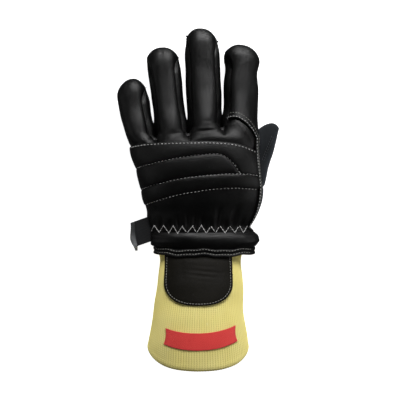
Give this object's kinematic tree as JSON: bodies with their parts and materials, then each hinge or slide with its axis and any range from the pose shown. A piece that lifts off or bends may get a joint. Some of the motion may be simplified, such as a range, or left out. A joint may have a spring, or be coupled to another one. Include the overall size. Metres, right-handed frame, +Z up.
{
  "type": "firefighter glove",
  "caption": "Left structural fire glove, palm down: padded leather back, fourchette fingers, suede palm and thumb, elastic wrist, long knit wristlet.",
  "frame": {"origin": "On the surface the glove lies on, under the heel of the palm, at the middle of the hand's breadth.", "axes": "+Y runs from the wristlet to the fingertips, +X to the thumb, +Z up from the surface, out of the back of the hand."},
  "size_m": [0.1543, 0.3066, 0.062],
  "materials": {
    "leather": "smooth black grain leather, semi-gloss",
    "suede": "matte blue-black suede",
    "knit": "pale yellow aramid rib knit",
    "label": "plain red woven label, bare",
    "webbing": "black webbing with a pale edge"
  },
  "bodies": {
    "root": {"back_panel": "leather", "index_back": "leather", "palm_panel": "suede", "thumb": "suede", "fourchette_1": "leather", "fourchette_2": "leather", "fourchette_3": "leather", "knuckle_band": "leather", "knuckle_lobe": "leather", "wrist_band": "leather", "cuff_band": "leather", "cuff_binding": "leather", "knit_wristlet": "knit", "pulse_patch": "leather", "label": "label", "strap_tab": "webbing"}
  },
  "joints": []
}
